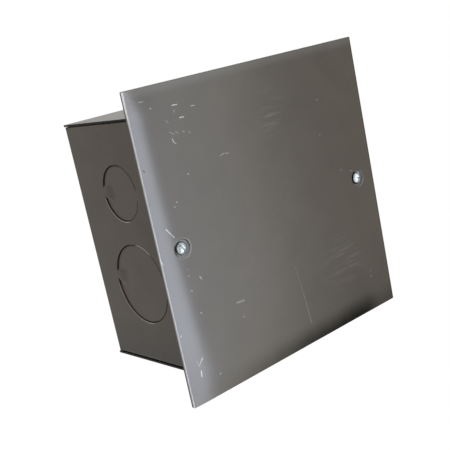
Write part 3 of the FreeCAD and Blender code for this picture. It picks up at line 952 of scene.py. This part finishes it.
@dataclass(frozen=True)
class Knockout:
    """The lips and bent ties that the press leaves round a pushed-in slug.

    Lengths are in millimetres; the turn is the direction of a tie in degrees.
    """

    across: float
    up: float
    radius: float
    tie: float
    turn: float
    kerf: float = 0.45
    land: float = 1.8
    inset: float = 0.7
    lip_width: float = 0.62
    lip_height: float = 0.2
    ramp: float = 9.0
    shoulder: float = 1.6
    clearance: float = 0.012
    rollover: float = 0.12
    slug_gap: float = 0.02
    slug_lift: float = 0.03
    slug_base: float = 0.15
    shoulder_flare: float = 3.0
    lip_steps: int = 72
    slug_steps: int = 180
    slug_rings: int = 26

    def polar(self, radius: np.ndarray, angle: np.ndarray, height: np.ndarray) -> np.ndarray:
        """Give points on the wall from a radius, an angle and an outward height."""
        across = self.across + radius * np.cos(angle)
        up = self.up + radius * np.sin(angle)
        return np.stack([across, up, height], axis=-1)

    def dress(self, wall: Wall, skin: Skin) -> None:
        """Add both lips and the bent slug to a skin."""
        half_tie = math.asin(self.tie / 2 / self.radius)
        front = math.radians(self.turn + 180.0)
        for middle in (front, front + math.pi):
            self.add_lip(wall, skin, middle + half_tie, middle + math.pi - half_tie)
        self.add_slug(wall, skin, front)

    def add_lip(self, wall: Wall, skin: Skin, start: float, end: float) -> None:
        """Roll a low lip along the outer edge of one sheared slot."""
        angle = np.linspace(start, end, self.lip_steps)[:, None]
        along = np.linspace(0.02, math.pi - 0.02, self.lip_steps)[:, None]
        taper = np.sin(along) ** 0.4
        radius = self.radius + LIP_OUTLINE[:, 0] * self.lip_width * taper
        height = LIP_OUTLINE[:, 1] * self.lip_height * taper
        skin.add_tube(wall.place(self.polar(radius, angle + 0.0 * radius, height)))

    def slug_height(self, radius: np.ndarray, angle: np.ndarray, front: float) -> np.ndarray:
        """Give the height of the slug's face at places on it.

        The face is level with the wall at its front tie and sinks evenly to its
        back, where it is drawn up again to the back tie.

        Args:
            radius: Distances from the middle of the slug.
            angle: Directions from there.
            front: Direction of the front tie.

        Returns:
            Heights over the wall, which are below nought.
        """
        outer = self.radius - self.kerf
        tilt = 0.5 - 0.5 * radius / outer * np.cos(angle - front)
        plane = -self.clearance - tilt * (self.inset - self.slug_lift)
        along = (outer - self.land + radius * np.cos(angle - front)) / self.ramp
        along = np.clip(along, 0.0, 1.0)
        aside = np.abs(radius * np.sin(angle - front)) - self.tie / 2
        aside = np.clip(aside / (self.shoulder + self.shoulder_flare * along), 0.0, 1.0)
        rise = (0.5 + 0.5 * np.cos(math.pi * along)) * (0.5 + 0.5 * np.cos(math.pi * aside))
        return plane - (self.clearance + plane) * rise

    def add_slug(self, wall: Wall, skin: Skin, front: float) -> None:
        """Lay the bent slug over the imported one, with the rolled edge of its shearing."""
        angle = np.linspace(0.0, 2.0 * math.pi, self.slug_steps, endpoint=False)[None, :]
        outer = self.radius - self.kerf - self.slug_gap
        inward = np.concatenate([
            np.array([0.0, 0.3, 1.0, 2.0]) * self.rollover,
            np.linspace(0.5, outer * 0.96, self.slug_rings),
        ])[:, None]
        fallen = np.zeros_like(inward)
        fallen[:2, 0] = (self.rollover, 0.3 * self.rollover)
        radius = outer - inward + 0.0 * angle
        height = self.slug_height(radius, angle, front) - fallen
        face = self.polar(radius, angle, height)
        base_height = np.full_like(radius[:1], -self.inset - self.slug_base)
        base = self.polar(radius[:1], angle, base_height)
        skin.add_tube(wall.place(np.concatenate([base, face])))


@dataclass(frozen=True)
class Knockouts:
    """The small and the large knockout of every wall and end plate."""

    small: tuple[float, float, float, float] = (32.8, 17.3, 6.2, 3.0)
    large: tuple[float, float, float, float] = (-23.9, 24.95, 5.4, 10.0)
    setback: float = -45.8

    def build(self, box: bpy.types.Material, plate: bpy.types.Material) -> None:
        """Dress the knockouts of the four walls."""
        for wall in Wall:
            on_side = wall in (Wall.LEFT, Wall.RIGHT)
            skin = Skin()
            for offset, radius, tie, turn in (self.small, self.large):
                if on_side:
                    knockout = Knockout(self.setback, offset, radius, tie, turn)
                else:
                    knockout = Knockout(offset, self.setback, radius, tie, 90.0 - turn)
                knockout.dress(wall, skin)
            name = f"knockout_rims_{wall.name.lower()}"
            material, slot = (box, "box_paint") if on_side else (plate, "end_plate_paint")
            skin.build(name, material, slot)


@dataclass(frozen=True)
class CoverScrew:
    """A slotted cover screw whose plain shank gets its thread.

    Lengths are in millimetres; the thread's depth is a share of its pitch.
    """

    node: str
    across: float
    seat: float = -87.6
    radius: float = 1.75
    length: float = 12.7
    pitch: float = 0.794
    point: float = 1.1
    thread_depth: float = 0.6
    start: float = -0.25
    point_depth: float = 0.75
    rows: int = 136
    around: int = 40

    def build(self, zinc: bpy.types.Material) -> None:
        """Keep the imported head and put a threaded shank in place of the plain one."""
        skin = Skin()
        self.add_head(skin)
        self.add_thread(skin)
        made = skin.build(f"{self.node}_threaded", zinc, "screw_zinc")
        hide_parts(self.node)

    def add_head(self, skin: Skin) -> None:
        """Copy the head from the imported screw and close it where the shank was."""
        head = packed_mesh(self.node)
        shank = [v for v in head.verts if v.co.y > self.seat + 0.01]
        bmesh.ops.delete(head, geom=shank, context="VERTS")
        rim = [edge for edge in head.edges if edge.is_boundary]
        bmesh.ops.holes_fill(head, edges=rim, sides=0)
        skin.add_mesh(head)

    def add_thread(self, skin: Skin) -> None:
        """Cut a sixty degree thread along the shank, fading out at its point."""
        deep = np.linspace(self.start, self.length, self.rows)[:, None]
        angle = np.linspace(0.0, 2.0 * math.pi, self.around, endpoint=False)[None, :]
        phase = (deep / self.pitch - angle / (2.0 * math.pi)) % 1.0
        crest = np.clip((0.5 - np.abs(phase - 0.5)) * 2.4 - 0.2, 0.0, 1.0)
        cut = self.thread_depth * self.pitch * np.clip(deep / self.pitch, 0.0, 1.0)
        radius = self.radius - (1.0 - crest) * cut
        bevel = np.clip((deep - self.length + self.point) / self.point, 0.0, 1.0)
        radius = np.minimum(radius, self.radius - self.point_depth * bevel + 0.0 * angle)
        x = self.across + radius * np.cos(angle)
        z = radius * np.sin(angle)
        y = self.seat + deep + 0.0 * angle
        skin.add_tube(np.stack([x, y, z], axis=-1))


@dataclass(frozen=True)
class Softbox:
    """A plain rectangular lamp that faces the object.

    Its heading is measured from the way the cover faces towards the right.
    """

    name: str
    heading: float
    elevation: float
    distance: float
    width: float
    height: float
    radiance: float
    tint: Colour = (1.0, 1.0, 1.0)

    def place(self, target: Vector) -> None:
        """Hang the lamp and turn it to a target."""
        lamp = bpy.data.lights.new(self.name, "AREA")
        lamp.shape = "RECTANGLE"
        lamp.size = self.width
        lamp.size_y = self.height
        lamp.color = self.tint
        lamp.energy = WATTS_PER_RADIANCE * self.width * self.height * self.radiance
        holder = bpy.data.objects.new(self.name, lamp)
        heading = math.radians(self.heading)
        elevation = math.radians(self.elevation)
        way = Vector((
            math.sin(heading) * math.cos(elevation),
            -math.cos(heading) * math.cos(elevation),
            math.sin(elevation),
        ))
        holder.location = target + self.distance * way
        holder.rotation_euler = (-way).to_track_quat("-Z", "Y").to_euler()
        holder.visible_camera = False
        bpy.context.scene.collection.objects.link(holder)


@dataclass(frozen=True)
class Studio:
    """White surroundings, a pale floor and two plain soft lamps."""

    ambient: float = 0.55
    floor_height: float = -1.2
    floor_side: float = 60.0
    floor_colour: tuple[float, float, float, float] = (0.8, 0.8, 0.8, 1.0)
    floor_glow: float = 1.07
    floor_share: float = 0.9
    lamps: tuple[Softbox, ...] = (
        Softbox("window", 18.0, -12.0, 1.3, 0.24, 1.9, 13.0, (0.79, 0.86, 1.0)),
        Softbox("panel", 34.0, -12.0, 1.35, 0.30, 1.9, 2.9, (0.90, 0.95, 0.98)),
    )

    def seen(self, graph: Graph) -> Signal:
        """Give one for rays that should meet the white background."""
        camera = graph.node("ShaderNodeLightPath", output="Is Camera Ray")
        glossy = graph.node("ShaderNodeLightPath", output="Is Glossy Ray")
        through = graph.node("ShaderNodeLightPath", output="Is Transmission Ray")
        return camera.at_least(glossy).at_least(through)

    def build(self, target: Vector) -> None:
        """Make the surroundings and the lamps."""
        world = bpy.data.worlds.new("studio")
        bpy.context.scene.world = world
        world.use_nodes = True
        graph = Graph(world.node_tree)
        lit = graph.node("ShaderNodeBackground", {}, {"Color": WHITE, "Strength": self.ambient})
        shown = graph.node("ShaderNodeBackground", {}, {"Color": WHITE, "Strength": 1.0})
        mixed = graph.node("ShaderNodeMixShader", {}, {0: self.seen(graph), 1: lit, 2: shown})
        graph.node("ShaderNodeOutputWorld", {}, {"Surface": mixed})
        for lamp in self.lamps:
            lamp.place(target)
        self.lay_floor()

    def lay_floor(self) -> None:
        """Lay the pale floor, which shows near white and keeps a soft shadow."""
        half = self.floor_side / 2
        mesh = bpy.data.meshes.new("floor")
        corners = [(-half, -half), (half, -half), (half, half), (-half, half)]
        mesh.from_pydata([(x, y, self.floor_height) for x, y in corners], [], [(0, 1, 2, 3)])
        floor = bpy.data.objects.new("floor", mesh)
        bpy.context.scene.collection.objects.link(floor)
        material = bpy.data.materials.new("pale_floor")
        material.use_nodes = True
        graph = Graph(material.node_tree)
        shaded = graph.node("ShaderNodeBsdfDiffuse", {}, {"Color": self.floor_colour})
        glow = graph.node("ShaderNodeEmission", {}, {"Color": WHITE, "Strength": self.floor_glow})
        share = self.seen(graph) * self.floor_share
        mixed = graph.node("ShaderNodeMixShader", {}, {0: share, 1: shaded, 2: glow})
        graph.node("ShaderNodeOutputMaterial", {}, {"Surface": mixed})
        mesh.materials.append(material)


@dataclass(frozen=True)
class Viewpoint:
    """Where the camera stands and how it is held, in metres and degrees."""

    place: tuple[float, float, float] = (-0.3388, -0.4636, 0.1101)
    heading: float = 38.30
    pitch: float = -12.59
    roll: float = -11.94
    lens: float = 66.99
    sensor: float = 36.0

    def build(self) -> None:
        """Make the camera.

        The level view turns by the heading and tips by the pitch; its right
        and up directions then turn about it by the roll.
        """
        heading, pitch, roll = (math.radians(a) for a in (self.heading, self.pitch, self.roll))
        view = Vector((
            math.sin(heading) * math.cos(pitch),
            math.cos(heading) * math.cos(pitch),
            math.sin(pitch),
        ))
        level = Vector((math.cos(heading), -math.sin(heading), 0.0))
        upright = level.cross(view)
        right = level * math.cos(roll) + upright * math.sin(roll)
        up = right.cross(view)
        data = bpy.data.cameras.new("camera")
        data.sensor_width = self.sensor
        data.lens = self.lens
        data.clip_start = 0.01
        camera = bpy.data.objects.new("camera", data)
        turned = Matrix((right, up, -view)).transposed().to_4x4()
        camera.matrix_world = Matrix.Translation(self.place) @ turned
        bpy.context.scene.collection.objects.link(camera)
        bpy.context.scene.camera = camera


@dataclass(frozen=True)
class BackBox:
    """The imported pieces, their finishes and what replaces or joins them.

    Lengths are in millimetres.
    """

    sheet: float = 1.9
    half_width: float = 81.0
    screw_across: float = 76.2

    def dress(self) -> None:
        """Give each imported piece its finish, and bend, dress and thread what needs it."""
        low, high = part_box("cover_plate")
        cover_paint = CoverPaint()
        cover = cover_paint.build(high.x / MM, low.y / MM, self.sheet)
        box = BoxPaint("box_paint").build()
        plate = BoxPaint("end_plate_paint", edge=self.half_width).build()
        zinc = ScrewZinc().build()
        finishes = {
            "cover_plate": cover,
            "box_wrapper": box,
            "top_end_plate": plate,
            "bottom_end_plate": plate,
            "cover_screw_left": zinc,
            "cover_screw_right": zinc,
        }
        for name, material in finishes.items():
            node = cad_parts[name]
            if not node.material_slots:
                node.data.materials.append(material)
            for slot in node.material_slots:
                slot.material = material
            LOG.info("%s takes %s", name, material.name)
        CoverSheet("cover_plate", cover_paint.left_margin).build(cover)
        Knockouts().build(box, plate)
        CoverScrew("cover_screw_left", -self.screw_across).build(zinc)
        CoverScrew("cover_screw_right", self.screw_across).build(zinc)


def main() -> None:
    """Build the studio, the camera and the looks of the box, in that order."""
    logging.basicConfig(level=logging.INFO, format="%(message)s")
    bpy.context.scene.view_settings.view_transform = "Standard"
    low, high = CAD_BOX
    Studio().build((low + high) / 2)
    Viewpoint().build()
    BackBox().dress()


if __name__ == "__main__":
    main()
